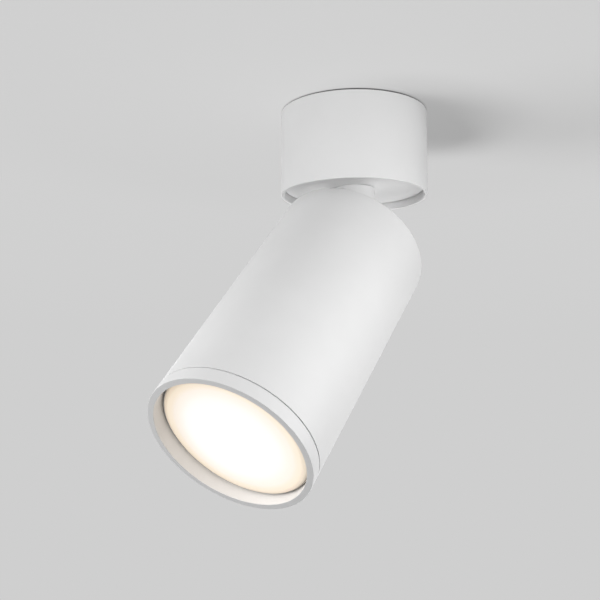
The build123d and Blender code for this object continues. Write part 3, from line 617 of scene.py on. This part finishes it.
def ledge_holes(ledge_radius, bore, low, high):
    """Cutters for the three screw holes in the ledge that a plate or cap is screwed to."""
    length = 2 * LEDGE_THICKNESS
    places = [on_circle((ledge_radius + bore) / 2, at, (low + high) / 2) for at in LEDGE_BEARINGS]
    return [pin(SCREW_HOLE_DIAMETER, length, place, (0, 0, 1)) for place in places]


def finish_piece(piece, node_name, place, body, slot):
    """Smooths a piece's shading, dresses it, and puts it in the place of a CAD node."""
    for face in piece.data.polygons:
        face.use_smooth = True
    piece.data.set_sharp_from_angle(angle=math.radians(SHARP_ANGLE))
    normals = piece.modifiers.new("normals", "WEIGHTED_NORMAL")
    normals.keep_sharp = True
    piece.data.materials.clear()
    piece.data.materials.append(MATERIALS[slot])
    piece.matrix_world = place
    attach(piece, body)
    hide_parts(node_name)


def on_circle(radius, bearing, height):
    """A point at a bearing in degrees from +X round the Z axis."""
    a = math.radians(bearing)
    return (radius * math.cos(a), radius * math.sin(a), height)


def axis_frame(origin, x_axis, z_axis):
    """The matrix of a frame with this origin, X and Z."""
    columns = Matrix((x_axis, z_axis.cross(x_axis), z_axis)).transposed()
    return Matrix.Translation(origin) @ columns.to_4x4()


CANOPY_FRAME = Matrix.Identity(4)
SIDE = Vector((1.0, 0.0, 0.0))
TILT = math.radians(TILT_ANGLE)
FORWARD = Vector((0.0, -math.sin(TILT), -math.cos(TILT)))
HINGE = Vector((0.0, 0.0, PIVOT_HEIGHT * MM))
HEAD_FRAME = axis_frame(HINGE, SIDE, FORWARD)
LEAN = Matrix.Rotation(math.radians(LAMP_LEAN), 4, "Y")
LAMP_FRAME = HEAD_FRAME @ Matrix.Translation((0.0, 0.0, LENS_FACE * MM)) @ LEAN.inverted()


def make_canopy_shell():
    """The canopy's cover: wall, bayonet lugs, ledge for the plate, and the lock screw's hole."""
    shell = turned("canopy_cover", [
        (CANOPY_BORE, CANOPY_BOTTOM, EDGE),
        (CANOPY_RADIUS, CANOPY_BOTTOM, SOFT_EDGE),
        (CANOPY_RADIUS, CANOPY_TOP, EDGE),
        (CANOPY_BORE, CANOPY_TOP, EDGE),
        (CANOPY_BORE, LEDGE_TOP, 0.0),
        (LEDGE_RADIUS, LEDGE_TOP, EDGE),
        (LEDGE_RADIUS, PLATE_TOP, EDGE),
        (CANOPY_BORE, PLATE_TOP, 0.0),
    ])
    inner, outer = CANOPY_BORE - FLANGE_WIDTH, CANOPY_BORE + FLANGE_ROOT
    lugs = [
        arc_block(inner, outer, FLANGE_BOTTOM, FLANGE_TOP, bearing, FLANGE_HALF_ANGLE)
        for bearing in FLANGE_BEARINGS
    ]
    combine(shell, lugs, "UNION")
    holes = ledge_holes(LEDGE_RADIUS, CANOPY_BORE, PLATE_TOP, LEDGE_TOP)
    lock_place = (0, CANOPY_BORE, LOCK_HEIGHT)
    holes.append(pin(LOCK_HOLE_DIAMETER, 4 * FLANGE_WIDTH, lock_place, (0, 1, 0)))
    combine(shell, holes, "DIFFERENCE")
    finish_piece(shell, "canopy_shell", CANOPY_FRAME, "canopy", "white_coat")


def make_canopy_plate():
    """The recessed plate that closes the canopy and carries the stem."""
    plate = turned("canopy_floor", [
        (PLATE_BORE, PLATE_BOTTOM, SOFT_EDGE),
        (PLATE_RADIUS, PLATE_BOTTOM, SOFT_EDGE),
        (PLATE_RADIUS, PLATE_TOP, SOFT_EDGE),
        (PLATE_BORE, PLATE_TOP, 0.0),
    ])
    finish_piece(plate, "canopy_plate", CANOPY_FRAME, "canopy", "white_coat")


def make_head_tube():
    """The head's tube, with the ledge for the rear cap; heights run forward from the hinge."""
    tube = turned("head_sleeve", [
        (HEAD_BORE, HEAD_BACK, TUBE_BACK_BORE_EDGE),
        (HEAD_BORE, CAP_BACK, 0.0),
        (HEAD_LEDGE_RADIUS, CAP_BACK, EDGE),
        (HEAD_LEDGE_RADIUS, HEAD_LEDGE_END, EDGE),
        (HEAD_BORE, HEAD_LEDGE_END, 0.0),
        (HEAD_BORE, SEAM, FINE_EDGE),
        (HEAD_RADIUS, SEAM, FINE_EDGE),
        (HEAD_RADIUS, HEAD_BACK, TUBE_BACK_EDGE),
    ])
    combine(tube, ledge_holes(HEAD_LEDGE_RADIUS, HEAD_BORE, CAP_BACK, HEAD_LEDGE_END), "DIFFERENCE")
    finish_piece(tube, "head_tube", HEAD_FRAME, "head", "white_coat")


def make_front_ring():
    """The trim ring round the lens, with the spigot that holds it in the tube."""
    ring = turned("trim_ring", [
        (RING_BORE, SPIGOT_BACK, FINE_EDGE),
        (RING_BORE, MOUTH, FINE_EDGE),
        (HEAD_RADIUS, MOUTH, EDGE),
        (HEAD_RADIUS, RING_BACK, RING_REAR_EDGE),
        (SPIGOT_RADIUS, RING_BACK, 0.0),
        (SPIGOT_RADIUS, SPIGOT_BACK, SOFT_EDGE),
    ])
    finish_piece(ring, "front_ring", HEAD_FRAME, "head", "white_coat")


def make_lens():
    """The lens, a crowned disc with a rounded edge and a skirt that plugs into the lamp's body."""
    crown = [
        (radius, LENS_CROWN * (1 - (radius / (LENS_RADIUS - LENS_EDGE)) ** 2), 0.0)
        for radius in LENS_CROWN_RADII
    ]
    lens = turned("lens", [
        *crown,
        (LENS_RADIUS, 0.0, LENS_EDGE),
        (LENS_RADIUS, LENS_RIM_END, EDGE),
        (LENS_SKIRT_RADIUS, LENS_RIM_END, 0.0),
        (LENS_SKIRT_RADIUS, LENS_SKIRT_END, EDGE),
        (LENS_INNER_RADIUS, LENS_SKIRT_END, EDGE),
        (LENS_INNER_RADIUS, -LENS_WALL, 0.0),
        (0.0, LENS_CROWN - LENS_WALL, 0.0),
    ])
    finish_piece(lens, "lamp_diffuser", LAMP_FRAME, "head", "frosted_lens")


make_camera()
make_world()
make_lamps(make_ceiling())

# the CAD pieces that stay get the materials of the slots that they already name
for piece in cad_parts.values():
    for slot in piece.material_slots:
        slot.material = MATERIALS[slot.material.name.split(".")[0]]

make_canopy_shell()
make_canopy_plate()
make_head_tube()
make_front_ring()
make_lens()

bpy.context.scene.view_settings.view_transform = "Standard"
